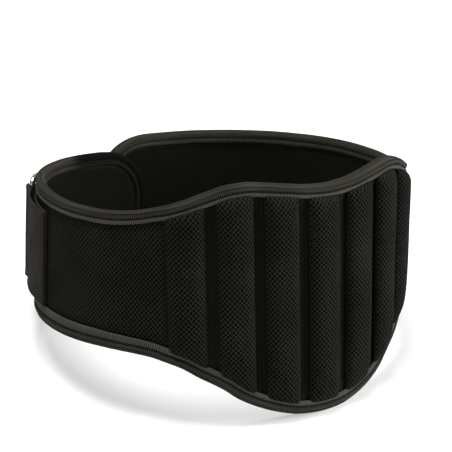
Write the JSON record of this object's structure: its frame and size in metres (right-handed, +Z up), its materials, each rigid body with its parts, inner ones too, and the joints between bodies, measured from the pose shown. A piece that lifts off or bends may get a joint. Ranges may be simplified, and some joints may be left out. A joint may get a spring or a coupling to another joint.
{
  "type": "weightlifting belt",
  "caption": "Padded back-support belt with a tall ribbed lumbar lobe, edge binding and a webbing strap fastened through a wire buckle, closed into its loop and standing.",
  "frame": {"origin": "middle of the bounding box in plan, on the floor that the belt stands on", "axes": "+Z up; +X along the belt to the right end where it crosses the middle of the back; the back faces -Y and the buckle is on the +Y side"},
  "size_m": [0.329, 0.3082, 0.1932],
  "materials": {
    "air_mesh": "matt black air mesh over foam",
    "lining": "smooth matt black lining",
    "binding": "dark taupe grosgrain tape",
    "webbing": "dark grey hook-and-loop webbing",
    "label": "matt black panel, bare",
    "bright_steel": "bright plated wire"
  },
  "bodies": {
    "root": {"outer_panel": "air_mesh", "inner_lining": "lining", "edge_binding": "binding", "rib_pad_1": "air_mesh", "rib_pad_2": "air_mesh", "rib_pad_3": "air_mesh", "rib_pad_4": "air_mesh", "rib_pad_5": "air_mesh", "rib_pad_6": "air_mesh", "rib_pad_7": "air_mesh", "waist_strap": "webbing", "label_panel": "label", "buckle_keeper": "webbing", "buckle_loop": "bright_steel"}
  },
  "joints": []
}
